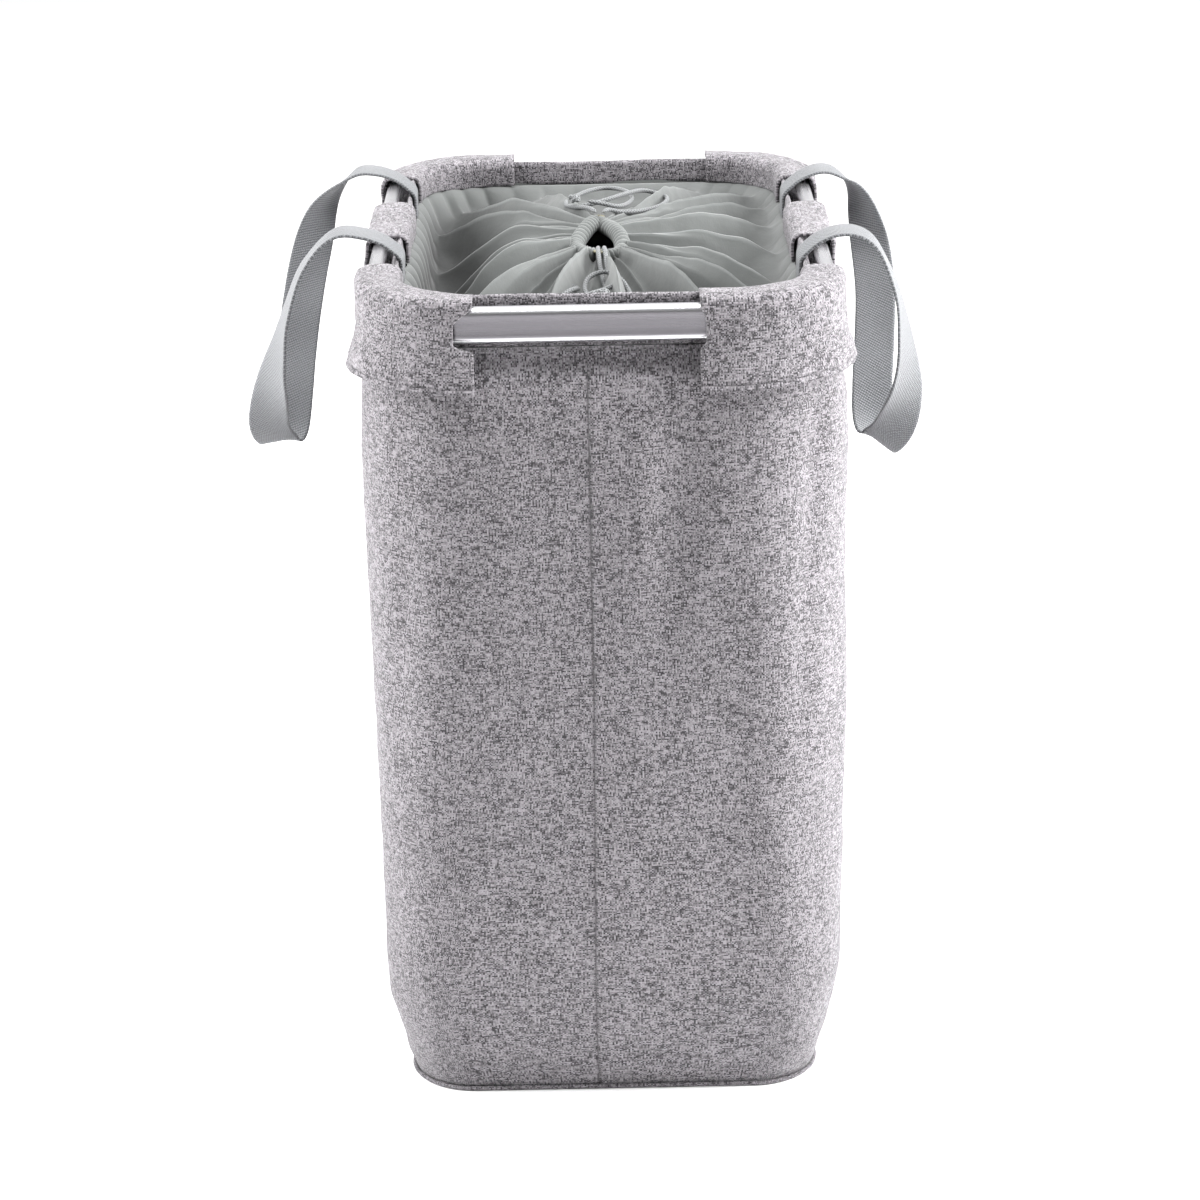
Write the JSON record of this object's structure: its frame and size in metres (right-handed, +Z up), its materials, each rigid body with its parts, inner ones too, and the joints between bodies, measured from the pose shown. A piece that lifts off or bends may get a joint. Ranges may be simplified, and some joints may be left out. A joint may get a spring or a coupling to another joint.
{
  "type": "laundry hamper",
  "caption": "Tall fabric laundry hamper hung from an exposed metal rim frame, with a gathered drawstring cover and webbing carry straps that swing up.",
  "frame": {"origin": "centre of the base's underside, on the floor", "axes": "+Z up from the base to the rim, the narrow front with the grip window faces -Y, the straps are on the -X and +X sides"},
  "size_m": [0.4952, 0.472, 0.6174],
  "materials": {
    "linen_fabric": "mottled two-tone linen-look weave, matt",
    "lining_fabric": "plain fine polyester, matt",
    "cover_fabric": "thin fine polyester, slight sheen",
    "webbing": "twill webbing, matt",
    "cord_braid": "round braided cord",
    "foam": "non-woven foam sheet, matt",
    "board": "stiff fibre board, matt",
    "aluminium_tube": "satin anodised",
    "joint_plastic": "moulded, matt",
    "rivet_metal": "plain",
    "eyelet_metal": "dull plated"
  },
  "bodies": {
    "base": {"base_panel": "linen_fabric", "base_board": "board", "base_piping": "linen_fabric", "lining_base": "lining_fabric", "lining": "lining_fabric", "body_panel_left": "linen_fabric", "body_panel_right": "linen_fabric", "stiffener_front": "foam", "stiffener_rear": "foam", "stiffener_left": "foam", "stiffener_right": "foam"},
    "rim": {"frame_front_half": "aluminium_tube", "frame_rear_half": "aluminium_tube", "frame_joint_left": "joint_plastic", "frame_joint_right": "joint_plastic", "frame_rivets": "rivet_metal", "top_hem": "linen_fabric", "facing_tape": "cover_fabric", "corner_sleeve_front_left": "linen_fabric", "corner_sleeve_front_right": "linen_fabric", "corner_sleeve_rear_left": "linen_fabric", "corner_sleeve_rear_right": "linen_fabric", "side_sleeve_left": "linen_fabric", "side_sleeve_right": "linen_fabric", "strap_ends_left": "webbing", "strap_ends_right": "webbing", "drawstring_cover": "cover_fabric", "cord_channel": "cover_fabric", "cord_eyelets": "eyelet_metal", "drawcord_front_long": "cord_braid", "drawcord_front_short": "cord_braid", "drawcord_rear_long": "cord_braid", "drawcord_rear_short": "cord_braid", "knot_front": "cord_braid", "knot_rear": "cord_braid"},
    "strap_left": {"strap_left": "webbing"},
    "strap_right": {"strap_right": "webbing"}
  },
  "joints": [
    {"name": "collapse", "type": "slide", "parent": "base", "child": "rim", "axis": [0, 0, 1], "range_m": [-0.42, 0], "deforming": ["lining", "body_panel_left", "body_panel_right", "stiffener_front", "stiffener_rear", "stiffener_left", "stiffener_right"]},
    {"name": "strap_left_swing", "type": "hinge", "parent": "rim", "child": "strap_left", "pos_m": [-0.164, 0, 0.615], "axis": [0, 1, 0], "range_deg": [0, 145]},
    {"name": "strap_right_swing", "type": "hinge", "parent": "rim", "child": "strap_right", "pos_m": [0.164, 0, 0.615], "axis": [0, -1, 0], "range_deg": [0, 145]}
  ]
}
